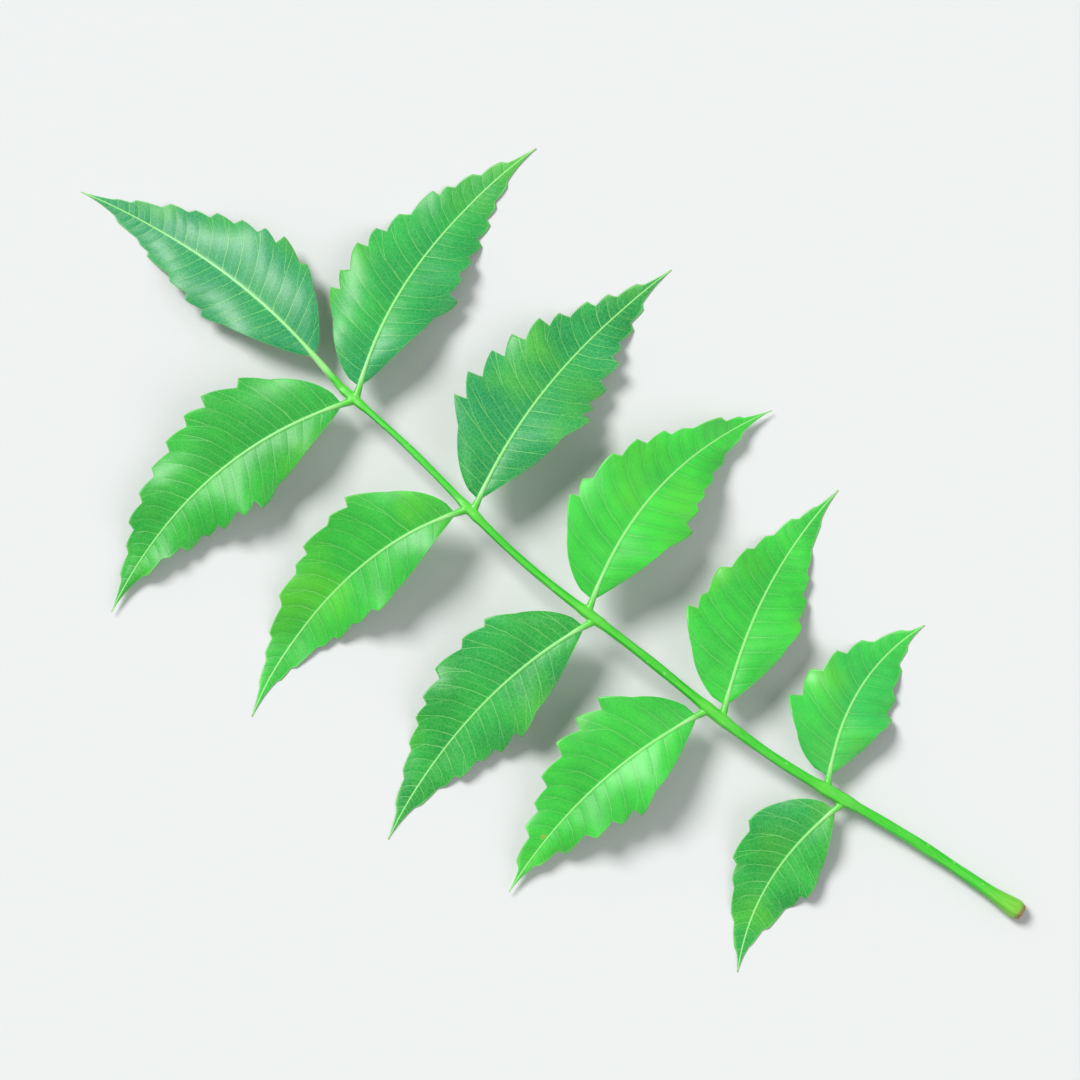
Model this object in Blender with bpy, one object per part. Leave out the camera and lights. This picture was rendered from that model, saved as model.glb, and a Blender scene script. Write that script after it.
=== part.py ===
"""One neem leaf, as picked: a stalk with five pairs of saw-edged leaflets and one at its end.

The leaf lies on a surface with its upper face up. It grew as one piece, so its leaflets, their
short stalklets and the stalk are joined into one solid. Metres, +X along the stalk towards the
leaf's tip, +Z up, the origin on the surface under the middle of the leaf.
"""

import math

import bmesh
import bpy
import numpy as np

MM = 0.001

# Stalk: the bare petiole, then the rachis that carries the leaflets
STALK_LENGTH = 192 * MM
PETIOLE_LENGTH = 48 * MM
STALK_BASE_RADIUS = 1.35 * MM
STALK_TIP_RADIUS = 0.75 * MM
PULVINUS_RADIUS = 2.3 * MM
PULVINUS_LENGTH = 9 * MM
JOINT_SWELLING = 0.3 * MM
JOINT_REACH = 2.4 * MM
LAST_PAIR_GAP = 5 * MM
STALK_SWAY = 6 * MM
STALK_ARCH = 9.5 * MM
STALK_BASE_HEIGHT = 2.1 * MM
STALK_STEP = 5 * MM
STALK_SIDES = 8
STALK_ZIGZAG = 0.6 * MM
ZIGZAG_LENGTH = 70 * MM
STALK_START = (-134.6 * MM, 1.3 * MM)

# Leaflets: small and broad at the first pair, long and slender from the third on
PAIRS = 5
FIRST_LENGTH = 43 * MM
LONGEST_LENGTH = 70 * MM
END_LEAFLET_LENGTH = 71 * MM
FIRST_BREADTH = 0.225
LAST_BREADTH = 0.17
OUTER_SHARE = 1.1
INNER_SHARE = 0.86
OUTER_BASE = 0.62
END_LEAFLET_BASE = 0.85
FIRST_ANGLE = math.radians(72)
LAST_ANGLE = math.radians(64)
END_LEAFLET_ANGLE = math.radians(-7)
LEAFLET_BEND = math.radians(38)
STALKLET_LENGTH = 3.2 * MM
END_STALKLET_LENGTH = 9.5 * MM
STALKLET_RADIUS = 0.8 * MM
STALKLET_SIDES = 6
STALKLET_ROOT = -0.08
STALKLET_NECK = 0.55

# Blade section
BLADE_THICKNESS = 0.65 * MM
BLADE_ENDS_HALF_WIDTH = 0.4 * MM
RIB_HALF_WIDTH = 0.8 * MM
RIB_UNDER = 0.5 * MM
RIB_OVER = 0.12 * MM
FOLD_ROUNDING = 3 * MM
PRESSED_DEPTH = 0.7 * MM
TOOTH_DEPTH = 0.17
TOOTH_LEAN = 0.0095
TOOTH_SPACING = 5.8 * MM
TOOTH_WANDER = 0.27
TOOTH_UNEVENNESS = 0.25
TOOTH_DROP = 0.24
TOOTH_BACK = 0.4
BLADE_REACHES = (0.0, 0.36, 0.72, 1.0)
BLADE_STATIONS = 17

LEAF_GREEN = (0.06, 0.42, 0.06, 1.0)
NODE_NAME = "neem_leaf"


def vary(seed):
    """A fixed number from -1 to 1 for each whole seed, so that no two leaflets are alike."""
    return 2 * ((math.sin(seed * 12.9898 + 4.1) * 43758.5453) % 1) - 1


def smooth_step(low, high, value):
    """0 below low, 1 above high and an even curve between."""
    share = np.clip((value - low) / (high - low), 0, 1)
    return share * share * (3 - 2 * share)


def stalk_point(along):
    """The stalk's centre line: a slow sway and a slight zigzag, arched past the middle."""
    share = along / STALK_LENGTH
    sway = STALK_SWAY * np.sin(math.pi * 1.2 * share - 0.4)
    zigzag = STALK_ZIGZAG * np.sin(2 * math.pi * (along - PETIOLE_LENGTH) / ZIGZAG_LENGTH)
    height = STALK_BASE_HEIGHT + STALK_ARCH * np.sin(2.3 * share) ** 2
    return np.stack([STALK_START[0] + along, STALK_START[1] + sway + zigzag, height], axis=-1)


def stalk_directions(along):
    """Level unit vectors along the stalk and to its left."""
    run = stalk_point(along + 0.5 * MM) - stalk_point(along - 0.5 * MM)
    forward = np.array([run[0], run[1], 0.0]) / math.hypot(run[0], run[1])
    return forward, np.array([-forward[1], forward[0], 0.0])


def stalk_radius(along, joints):
    """Swollen where it left the twig and a little at each joint, with a long even taper."""
    taper = STALK_BASE_RADIUS + (STALK_TIP_RADIUS - STALK_BASE_RADIUS) * along / STALK_LENGTH
    base = (PULVINUS_RADIUS - STALK_BASE_RADIUS) * np.exp(-2.2 * (along / PULVINUS_LENGTH) ** 2)
    swell = sum(np.exp(-(((along - joint) / JOINT_REACH) ** 2)) for joint in joints)
    rounding = 1 - 0.3 * np.exp(-((along / MM) ** 2))
    return (taper + base) * rounding + JOINT_SWELLING * np.minimum(swell, 1)


def leaflet_plan(number, side, along, length, breadth, angle):
    """Everything that makes one leaflet its own."""
    pressed = number % 3 != 2
    is_end = number == 2 * PAIRS
    return {
        "number": number,
        "side": side,
        "along": along,
        "pressed": pressed,
        "stalklet": END_STALKLET_LENGTH if is_end else STALKLET_LENGTH,
        "length": length * (1 + 0.05 * vary(number)),
        "breadth": breadth * (1 + 0.07 * vary(number + 11)),
        "angle": angle + math.radians(6) * vary(number + 20),
        "bend": LEAFLET_BEND * (1 + 0.36 * vary(number + 40)),
        "outer_base": END_LEAFLET_BASE if is_end else OUTER_BASE,
        "fullness": 1.72 + 0.2 * vary(number + 30),
        "tooth": 1.05 + 0.4 * vary(number + 50),
        "tooth_back": 0.64 + 0.12 * vary(number + 220),
        "lift": 0.9 + 0.7 * vary(number + 60),
        "landing": (0.86 if pressed else 1.05) + 0.08 * vary(number + 70),
        "fold": 0.3 + 0.08 * vary(number + 80),
        "curl": 0.2 + 0.07 * vary(number + 100),
        "twist": math.radians(9) * vary(number + 120),
        "wave": (1.1 + 0.35 * vary(number + 140)) * MM,
        "phase": math.pi * vary(number + 160),
        "lowest": -PRESSED_DEPTH if pressed else (1.6 + 0.9 * vary(number + 180)) * MM,
        "drop": 0.0,
    }


def leaflet_plans():
    """Five pairs that don't quite face each other, then the leaflet at the end."""
    plans = []
    for pair in range(PAIRS):
        share = pair / (PAIRS - 1)
        length = FIRST_LENGTH + (LONGEST_LENGTH - FIRST_LENGTH) * math.sin(0.5 * math.pi * share) ** 0.8
        breadth = LAST_BREADTH + (FIRST_BREADTH - LAST_BREADTH) * (1 - share) ** 2.4
        angle = FIRST_ANGLE + (LAST_ANGLE - FIRST_ANGLE) * share
        place = PETIOLE_LENGTH + (STALK_LENGTH - LAST_PAIR_GAP - PETIOLE_LENGTH) * share**1.06
        for side in (1, -1):
            number = 2 * pair + (side < 0)
            along = place + side * (2.4 * MM) * (1 - share) * (1 if pair % 2 else -1)
            plans.append(leaflet_plan(number, side, along, length, breadth, angle))
    end_place = STALK_LENGTH - 1 * MM
    plans.append(leaflet_plan(2 * PAIRS, 1, end_place, END_LEAFLET_LENGTH, LAST_BREADTH, END_LEAFLET_ANGLE))
    for plan in plans:
        settle(plan)
    return plans


def edge_width(plan, share, outer):
    """Half a blade's width: a round or narrow base and a long drawn-out tip."""
    peak, power = (0.3, plan["outer_base"]) if outer else (0.37, 0.9)
    rise = np.sin(0.5 * math.pi * np.clip(share / peak, 0, 1)) ** power
    run = np.clip((share - peak) / (1 - peak), 0, 1)
    outline = np.where(share < peak, rise, (1 - run ** plan["fullness"]) ** 1.7)
    widest = plan["length"] * plan["breadth"] * (OUTER_SHARE if outer else INNER_SHARE)
    return BLADE_ENDS_HALF_WIDTH + widest * outline


def tooth_tips(plan, outer):
    """Where the first tooth of one edge starts and each of them ends, as shares of the length."""
    first, last = (0.17, 0.88) if outer else (0.31, 0.84)
    count = max(3, round((last - first) * plan["length"] / TOOTH_SPACING))
    wander = [TOOTH_WANDER * vary(7 * plan["number"] + 3 * step + outer) for step in range(1, count)]
    return first + (last - first) * (np.arange(count + 1) + np.array([0.0] + wander + [0.0])) / count


def tooth_corners(plan, outer):
    """The corners of one edge's teeth: each has a notch, a bulge on its long back and a tip.

    A long tooth is taller than a short one, and chance makes each a little taller or lower.
    """
    tips = tooth_tips(plan, outer)
    gaps = np.append(np.diff(tips), tips[-1] - tips[-2])
    notches = tips + TOOTH_DROP * gaps
    starts = np.append(tips[:1], notches[1:-1])
    spans = tips[1:] - starts
    chance = np.array([vary(11 * plan["number"] + 5 * step + 3 * outer + 2) for step in range(len(spans))])
    tall = (spans / spans.mean()) ** 0.8 * (1 + TOOTH_UNEVENNESS * chance)
    backs = starts + TOOTH_BACK * spans
    bulges = TOOTH_BACK ** plan["tooth_back"] * tall
    places = np.append(np.stack([starts, backs, tips[1:]], axis=1).ravel(), notches[-1])
    heights = np.append(np.stack([0 * tall, bulges, tall], axis=1).ravel(), 0.0)
    return places, heights


def saw(plan, share, outer):
    """0 in a notch and 1 on a tooth's tip, with a long back and a short drop towards the leaf's tip."""
    places, heights = tooth_corners(plan, outer)
    return np.interp(share, places, heights)


def midrib(plan, share):
    """Points on a leaflet's midrib, and the level directions along it and towards the leaf's tip."""
    forward, left = stalk_directions(plan["along"])
    outward = left * plan["side"]
    fine = np.linspace(0, 1, 201)
    heading = plan["angle"] + plan["bend"] * fine**1.05
    run = np.outer(np.cos(heading), forward) + np.outer(np.sin(heading), outward)
    path = np.vstack([np.zeros(3), np.cumsum(run[:-1] + run[1:], axis=0) * plan["length"] / 400])
    start = stalk_point(plan["along"]) + run[0] * plan["stalklet"]
    points = start + np.stack([np.interp(share, fine, path[:, k]) for k in range(3)], axis=1)
    turned = np.interp(share, fine, heading)
    along = np.outer(np.cos(turned), forward) + np.outer(np.sin(turned), outward)
    towards_tip = np.outer(np.sin(turned), forward) - np.outer(np.cos(turned), outward)
    landing = plan["landing"]
    fall = np.clip(1 - share / landing, 0, 1) ** 2 * (1 + (2 / landing + plan["lift"]) * share)
    points[:, 2] = start[2] * fall - plan["drop"] * smooth_step(0.0, 0.6, share)
    return points, along, towards_tip


def blade_points(plan, share, ratio, toothed=True):
    """Points on the blade's lower face, at signed shares of its half width from the midrib.

    The positive side faces the leaf's tip. It is the wider one and the outside of the bend.
    """
    line, along, towards_tip = midrib(plan, share)
    outer = np.mean(ratio) > 0
    reach = np.abs(ratio)
    width = edge_width(plan, share, outer)
    tooth = saw(plan, share, outer) * reach**8 if toothed else 0 * share
    widest = plan["length"] * plan["breadth"]
    room = (width / widest) ** 0.6 * (0.6 + 0.4 * smooth_step(0.12, 0.35, share)) * (1 if outer else 0.8)
    tooth = tooth * room * plan["tooth"]
    out = width * reach + widest * TOOTH_DEPTH * tooth
    reach = out / width
    flat = 1 - (0.8 * smooth_step(0.45, 0.95, share) if plan["pressed"] else 0)
    lift = width * (plan["fold"] * reach - plan["curl"] * reach**2.2)
    ripple = np.sin(2 * math.pi * 3.1 * share + plan["phase"] + (1.9 if outer else 0))
    lift = lift + plan["wave"] * reach**2 * ripple * np.sqrt(np.sin(math.pi * np.clip(share, 0, 1)))
    turn = plan["twist"] * share * flat
    cosine, sine = np.cos(turn)[:, None], np.sin(turn)[:, None]
    up = np.array([0.0, 0.0, 1.0])
    points = line + (towards_tip * cosine + up * sine) * (out * np.sign(ratio))[:, None]
    points = points + (up * cosine - towards_tip * sine) * (lift * flat)[:, None]
    return points + along * (plan["length"] * TOOTH_LEAN * tooth)[:, None]


def blade_normals(plan, share, ratio):
    """Unit normals of the blade without its teeth, on its upper side, rounded over at the midrib."""
    inner = ratio - 0.06 * np.where(ratio < 0, -1, 1)
    outer = ratio if np.any(ratio) else ratio + 0.06
    run = blade_points(plan, share + 0.01, ratio, False) - blade_points(plan, share - 0.01, ratio, False)
    across = blade_points(plan, share, outer, False) - blade_points(plan, share, inner, False)
    normal = np.cross(run, across)
    normal *= np.sign(normal[:, 2:3]) / np.linalg.norm(normal, axis=1, keepdims=True)
    if np.any(ratio):
        distance = edge_width(plan, share, np.mean(ratio) > 0) * np.abs(ratio)
        near = np.clip(1 - distance / FOLD_ROUNDING, 0, 1)[:, None]
        normal = normal * (1 - near) + blade_normals(plan, share, 0 * ratio) * near
    return normal / np.linalg.norm(normal, axis=1, keepdims=True)


def settle(plan):
    """Lowers the leaflet until its lowest point is where the plan wants it."""
    share = np.linspace(0, 1, 41)
    low, high = -10 * MM, 20 * MM
    for _ in range(30):
        plan["drop"] = (low + high) / 2
        columns = [blade_points(plan, share, np.full(41, ratio)) for ratio in np.linspace(-1, 1, 9)]
        if np.stack(columns)[..., 2].min() > plan["lowest"]:
            low = plan["drop"]
        else:
            high = plan["drop"]


def mesh_object(name, points, faces):
    """A mesh object whose faces all point out."""
    mesh = bpy.data.meshes.new(name)
    mesh.from_pydata([tuple(point) for point in points], [], faces)
    shape = bmesh.new()
    shape.from_mesh(mesh)
    bmesh.ops.recalc_face_normals(shape, faces=shape.faces)
    shape.to_mesh(mesh)
    shape.free()
    made = bpy.data.objects.new(name, mesh)
    bpy.context.scene.collection.objects.link(made)
    return made


def edge_stations(plan, outer):
    """Shares of the length where an edge has a point: every corner of its teeth, and a smooth base."""
    places, _ = tooth_corners(plan, outer)
    base = [0.0, 0.03, 0.075] + list(np.arange(0.13, places[0] - 0.02, 0.06))
    return np.array(base + list(places) + [0.5 + 0.5 * places[-1], 1.0])


def strip(first, second, at_first, at_second):
    """Triangles between two lines of points, always stepping to the nearer next one."""
    faces = []
    i = j = 0
    while i < len(first) - 1 or j < len(second) - 1:
        if j == len(second) - 1 or (i < len(first) - 1 and at_first[i + 1] <= at_second[j + 1]):
            faces.append((first[i], first[i + 1], second[j]))
            i += 1
        else:
            faces.append((first[i], second[j + 1], second[j]))
            j += 1
    return faces


def blade(plan):
    """One leaflet's closed blade, split alike on both faces, with its midrib raised."""
    even = np.linspace(0, 1, BLADE_STATIONS)
    signed = [-reach for reach in reversed(BLADE_REACHES)] + [None] + list(BLADE_REACHES)
    middle = len(BLADE_REACHES)
    points = []
    columns = []
    for index, reach in enumerate(signed):
        outer = index > middle
        share = edge_stations(plan, outer) if index in (0, len(signed) - 1) else even
        taper = 1 - 0.7 * share
        ratio = np.zeros(len(share))
        if index != middle:
            width = edge_width(plan, share, outer)
            rib = np.minimum(RIB_HALF_WIDTH * taper, 0.5 * width)
            ratio = (rib + (width - rib) * abs(reach)) / width * (1 if outer else -1)
        lower = blade_points(plan, share, ratio)
        lower[:, 2] = np.maximum(lower[:, 2], 0)
        upper = lower + blade_normals(plan, share, ratio) * BLADE_THICKNESS
        if index == middle:
            lower[:, 2] = np.maximum(lower[:, 2] - RIB_UNDER * taper, 0)
            upper[:, 2] += RIB_OVER * taper
        top = np.arange(len(share)) + len(points)
        points += list(upper) + list(lower)
        columns.append((share, list(top), list(top + len(share))))

    faces = []
    for first, second in zip(columns, columns[1:]):
        at_first, top_first, under_first = first
        at_second, top_second, under_second = second
        faces += strip(top_first, top_second, at_first, at_second)
        faces += strip(under_first, under_second, at_first, at_second)
        for end in (0, -1):
            a, b, c, d = top_first[end], top_second[end], under_second[end], under_first[end]
            faces += [(a, b, c), (a, c, d)]
    for share, top, under in (columns[0], columns[-1]):
        faces += strip(top, under, share, share)
    return mesh_object(f"leaflet_{plan['number'] + 1:02d}", points, faces)


def tube(name, points, radii, sides):
    """A closed tapered tube along a line of points, flattened where it meets the surface."""
    rings = []
    for index, centre in enumerate(points):
        run = points[min(index + 1, len(points) - 1)] - points[max(index - 1, 0)]
        run = run / np.linalg.norm(run)
        level = np.cross([0.0, 0.0, 1.0], run)
        level = level / np.linalg.norm(level)
        rise = np.cross(run, level)
        for side in range(sides):
            angle = 2 * math.pi * (side + 0.5) / sides
            rings.append(centre + radii[index] * (level * math.cos(angle) + rise * math.sin(angle)))
    rings = np.array(rings)
    rings[:, 2] = np.maximum(rings[:, 2], 0)
    faces = [tuple(range(sides)), tuple(range(len(rings) - sides, len(rings)))]
    for ring in range(len(points) - 1):
        for side in range(sides):
            a, b = ring * sides + side, ring * sides + (side + 1) % sides
            faces.append((a, b, b + sides, a + sides))
    return mesh_object(name, rings, faces)


def stalk(plans):
    """Petiole and rachis in one tapered length, with a station either side of every joint."""
    joints = [plan["along"] for plan in plans]
    wanted = [0.0, 1.2 * MM, 3.5 * MM, 6 * MM, 9 * MM, STALK_LENGTH]
    wanted += [joint + shift for joint in joints for shift in (-2.4 * MM, 0.0, 2.4 * MM)]
    wanted += list(np.arange(14 * MM, STALK_LENGTH, STALK_STEP))
    kept = []
    for station in sorted(wanted):
        if station <= STALK_LENGTH and (not kept or station - kept[-1] > 1.1 * MM):
            kept.append(station)
    kept[-1] = STALK_LENGTH
    along = np.array(kept)
    return tube(NODE_NAME, stalk_point(along), stalk_radius(along, joints), STALK_SIDES)


def stalklet(plan):
    """The short stalk of one leaflet, from past the stalk's middle to the foot of the midrib."""
    line = midrib(plan, np.array([0.0, 0.035, 0.1]))[0]
    line[:, 2] += BLADE_THICKNESS / 2
    middle = stalk_point(plan["along"])
    root, neck = (middle + share * (line[0] - middle) for share in (STALKLET_ROOT, STALKLET_NECK))
    radii = STALKLET_RADIUS * np.array([1.05, 1.1, 1.0, 0.85, 0.45])
    return tube(f"stalklet_{plan['number'] + 1:02d}", np.vstack([root, neck, line]), radii, STALKLET_SIDES)


def join(base, others):
    """Joins the leaflets and their stalklets to the stalk with one Boolean union."""
    grown = bpy.data.collections.new("grown")
    bpy.context.scene.collection.children.link(grown)
    for other in others:
        bpy.context.scene.collection.objects.unlink(other)
        grown.objects.link(other)
    union = base.modifiers.new("union", "BOOLEAN")
    union.operation = "UNION"
    union.operand_type = "COLLECTION"
    union.collection = grown
    union.solver = "EXACT"
    bpy.context.view_layer.objects.active = base
    bpy.context.view_layer.update()
    bpy.ops.object.modifier_apply(modifier=union.name)
    for other in others:
        bpy.data.objects.remove(other)
    bpy.data.collections.remove(grown)


def leaf_green():
    """The colour of the leaf's upper face."""
    material = bpy.data.materials.new("leaf_green")
    material.use_nodes = True
    shader = material.node_tree.nodes["Principled BSDF"]
    shader.inputs["Base Color"].default_value = LEAF_GREEN
    shader.inputs["Roughness"].default_value = 0.42
    shader.inputs["Metallic"].default_value = 0.0
    return material


def main():
    for old in list(bpy.data.objects):
        bpy.data.objects.remove(old)
    plans = leaflet_plans()
    leaf = stalk(plans)
    join(leaf, [blade(plan) for plan in plans] + [stalklet(plan) for plan in plans])
    leaf.data.materials.clear()
    leaf.data.materials.append(leaf_green())


main()
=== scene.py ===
"""One fresh neem leaf, as picked, lying on a pale table.

A stalk with a swollen base carries eleven saw-edged leaflets on short stalklets. Their form follows
the packed model, and this script adds what the eye sees from near: thin blades with sunk side veins,
raised midribs, a grooved stalk and colours.
Metres, +X along the stalk towards the leaf's tip, +Z up, the table at height 0.
"""

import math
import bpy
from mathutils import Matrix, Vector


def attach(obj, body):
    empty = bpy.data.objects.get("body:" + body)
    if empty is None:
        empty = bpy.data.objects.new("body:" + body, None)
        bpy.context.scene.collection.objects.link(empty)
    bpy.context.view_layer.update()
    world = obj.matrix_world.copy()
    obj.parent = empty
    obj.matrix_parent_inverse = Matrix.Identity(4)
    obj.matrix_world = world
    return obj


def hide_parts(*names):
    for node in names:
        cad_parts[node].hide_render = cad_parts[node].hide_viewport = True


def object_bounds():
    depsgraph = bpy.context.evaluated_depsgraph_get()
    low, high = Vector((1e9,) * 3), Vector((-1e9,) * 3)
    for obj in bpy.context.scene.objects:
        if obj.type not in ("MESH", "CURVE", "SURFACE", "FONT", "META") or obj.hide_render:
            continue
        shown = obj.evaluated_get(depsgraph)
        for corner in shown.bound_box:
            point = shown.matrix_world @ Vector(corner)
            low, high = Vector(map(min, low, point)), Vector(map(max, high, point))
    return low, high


bl_info = {
    "name": "Neem Leaf",
    "version": (1, 0, 0),
    "blender": (4, 5, 0),
    "location": "View3D > Sidebar > Neem Leaf",
    "description": "Models a fresh neem leaf with veined, saw-edged leaflets on a grooved stalk",
    "category": "Add Mesh",
}

from types import SimpleNamespace

import bpy
import numpy as np
from mathutils import Matrix, Vector

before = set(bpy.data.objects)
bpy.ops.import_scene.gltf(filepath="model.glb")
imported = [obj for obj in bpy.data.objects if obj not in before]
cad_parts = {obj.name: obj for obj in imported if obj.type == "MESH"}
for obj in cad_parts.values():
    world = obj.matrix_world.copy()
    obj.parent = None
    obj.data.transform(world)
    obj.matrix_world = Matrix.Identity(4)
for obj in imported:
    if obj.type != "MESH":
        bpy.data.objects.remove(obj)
CAD_BOX = [list(corner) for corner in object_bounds()]

MM = 0.001
NODE = "neem_leaf"
BODY = "root"
TABLE_GAP = 0.02 * MM
UP = np.array([0.0, 0.0, 1.0])

# The stalk's line
STALK_START = (-134.6 * MM, 1.3 * MM)
STALK_HEIGHT = 2.1 * MM
SWAY_TURN = 1.2 * math.pi
SWAY_PHASE = -0.4
ARCH_TURN = 2.3
ZIGZAG = 0.6 * MM
ZIGZAG_LENGTH = 70 * MM
HALF_STEP = 0.5 * MM

# The stalk's thickness, groove and ribs
PULVINUS_RADIUS = 2.3 * MM
PULVINUS_LENGTH = 9 * MM
PULVINUS_FALL = 2.2
BASE_ROUNDING = 0.3
JOINT_SWELLING = 0.3 * MM
JOINT_REACH = 2.4 * MM
UNEVENNESS = 0.025
UNEVEN_WAVES = ((3.7 * MM, 0), (1.9 * MM, 1))
STALK_TIP = 1.6 * MM
TIP_ROUNDING = 0.96
GROOVE_DEPTH = 0.13
GROOVE_ANGLE = 0.42
STALK_RIBS = 7
STALK_RIB_HEIGHT = 0.05 * MM
STALK_RIB_DRIFT = 19 * MM
RIBS_BEGIN = (0.3 * MM, 0.7 * MM)
RIBS_END = (1.9 * MM, 2.7 * MM)
JOINT_PATCH = 3 * MM

# The meshes of the stalk and the stalklets
STALK_POINTS = 600
STALK_SIDES = 24
STALK_CUTS = (17, 21)
STALK_VOXEL = 0.19 * MM
SMOOTHING = (0.5, 5)
STALKLET_RADII = 0.8 * MM * np.array([1.2, 1.1, 0.95, 0.78, 0.5, 0.3])
STALKLET_ROOT = (-0.08, 0.55)
STALKLET_FOOT = np.array([0.0, 0.035, 0.1, 0.19])
STALKLET_LIFT = 0.1 * MM
STALKLET_SIDES = 14
STALKLET_CUTS = (35,)
STALKLET_ROUNDS = 6

# Where the leaflets stand
LAST_PAIR_GAP = 5 * MM
END_LEAFLET_GAP = 1 * MM
END_LEAFLET_ANGLE = math.radians(-7)
PAIR_STAGGER = 2.4 * MM
PAIR_POWER = 1.06
FREE_EACH = 3
LENGTH_POWER = 0.8
BREADTH_POWER = 2.4
STALKLET_LENGTH = 3.2 * MM
END_STALKLET_LENGTH = 9.5 * MM

# How the leaflets differ: a middle value, the spread about it and the number of the draw
VARIETY = {
    "length": (1, 0.05, 0),
    "breadth": (1, 0.07, 11),
    "angle": (0, math.radians(6), 20),
    "bend": (1, 0.36, 40),
    "fullness": (1.72, 0.2, 30),
    "tooth": (1.05, 0.4, 50),
    "tooth_back": (1.55, 0.3, 220),
    "lift": (0.9, 0.7, 60),
    "landing": (0, 0.08, 70),
    "fold": (0.3, 0.08, 80),
    "curl": (0.2, 0.07, 100),
    "twist": (0, math.radians(9), 120),
    "wave": (1.1, 0.35, 140),
    "phase": (0, math.pi, 160),
    "clearance": (1.6, 0.9, 180),
}
TONE_DRAWS = {"tone": 848, "cool": 665}
SCATTER = (12.9898, 4.1, 43758.5453)

# A blade's outer edge, which faces the leaf's tip, and its inner one. Each has its share of the breadth,
# its widest place, its teeth and the steps to its first vein
EDGES = {
    True: SimpleNamespace(share=1.1, peak=0.3, teeth=(0.17, 0.88), vein=0.3),
    False: SimpleNamespace(share=0.86, peak=0.37, teeth=(0.31, 0.84), vein=0.75),
}
OUTER_BASE = 0.62
END_LEAFLET_BASE = 0.85
INNER_BASE = 0.9
TIP_POWER = 1.7
TIP_HALF_WIDTH = 0.11 * MM

# Its teeth
LEAST_TEETH = 3
TOOTH_DROP = 0.24
TOOTH_WANDER = 0.27
TOOTH_UNEVENNESS = 0.25
TOOTH_GROWTH = 0.8
TOOTH_FRONT = 1.25
TOOTH_LEAN = 0.0095
TOOTH_ROOM = 0.6
LOW_TOOTH = 0.6
LOW_TEETH = (0.12, 0.35)
INNER_TOOTH = 0.8
TOOTH_REACH = 6
SETTLE_TOOTH_REACH = 8

# How it lies
MIDRIB_STEPS = 400
BEND_POWER = 1.05
PRESSED_LANDING = 0.86
FREE_LANDING = 1.05
PRESSED_DEPTH = 0.7 * MM
FLATTENING = 0.8
FLATTENED = (0.45, 0.95)
FOLD_SOFTNESS = 0.7 * MM
CURL_POWER = 2.2
WAVES = 3.1
WAVE_LAG = 1.9
WAVED_WIDTH = 3.2 * MM
DROP_SHARE = 0.6
DROP_RANGE = (-10 * MM, 20 * MM)
SETTLE_ROUNDS = 30
SETTLE_ROWS = 41
SETTLE_COLUMNS = 9
FLOOR_SOFTNESS = 0.35 * MM

# Its mesh
ROW_SPACING = 0.36 * MM
RIB_COLUMNS = 5
SIDE_COLUMNS = 40
RIB_SHARE = 0.07
VEIN_SWEEP = 0.55
VEIN_CURVE = 0.3
NARROW_BASE = (0.0, 0.03)
NARROW_TIP = (0.84, 0.92)
INNER_VEINS_FROM = 40

# Its midrib, side veins and the swelling between them
RIB_HALF_WIDTH = 0.8 * MM
RIB_TAPER = 0.7
RIB_WIDEST = 0.5
RIB_UNDER = 0.45 * MM
RIB_OVER = 0.13 * MM
RIB_CREST = 0.45
FIRST_VEIN = 0.03
LAST_VEIN = 0.93
VEIN_CROWDING = 0.35
VEIN_UNEVENNESS = 0.16
VEIN_FADE = 0.65
GROOVES_BEGIN = (0.02, 0.1)
SWELL_BEGIN = (0.02, 0.15)
SWELL_END = (0.6, 1)
SWELL_FADE = 0.8
SWELL_WIDTH = 0.35
SWELL_UNDER = 0.6
MARGIN_POWER = 4
POINT = (0.95, 1.0)
POINT_THINNING = 0.75
LEAST_THICKNESS = 0.1 * MM

# The stage. Directions are to the right, up the picture and up from the table
TABLE_SIZE = 20.0
TABLE_ROUGHNESS = 0.85
KEY_DIRECTION = (-1.2, 1.1, 1.8)
FILL_DIRECTION = (1.5, -0.7, 1.5)
FILL_SOFTNESS = 2
SKY_COLOUR = (0.93, 0.97, 1.0)
CLIP_START = 0.01


def amount(name, description, default, **kind):
    return bpy.props.FloatProperty(name=name, description=description, default=default, **kind)


def distance(name, description, millimetres):
    return amount(name, description, millimetres * MM, min=0.0, unit="LENGTH", subtype="DISTANCE")


def angle(name, description, degrees):
    return amount(name, description, math.radians(degrees), unit="ROTATION", subtype="ANGLE")


def factor(name, description, default, highest=1.0):
    return amount(name, description, default, min=0.0, max=highest, subtype="FACTOR")


def colour(name, description, default):
    return bpy.props.FloatVectorProperty(
        name=name, description=description, default=default, size=3, min=0.0, max=1.0, subtype="COLOR"
    )


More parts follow.
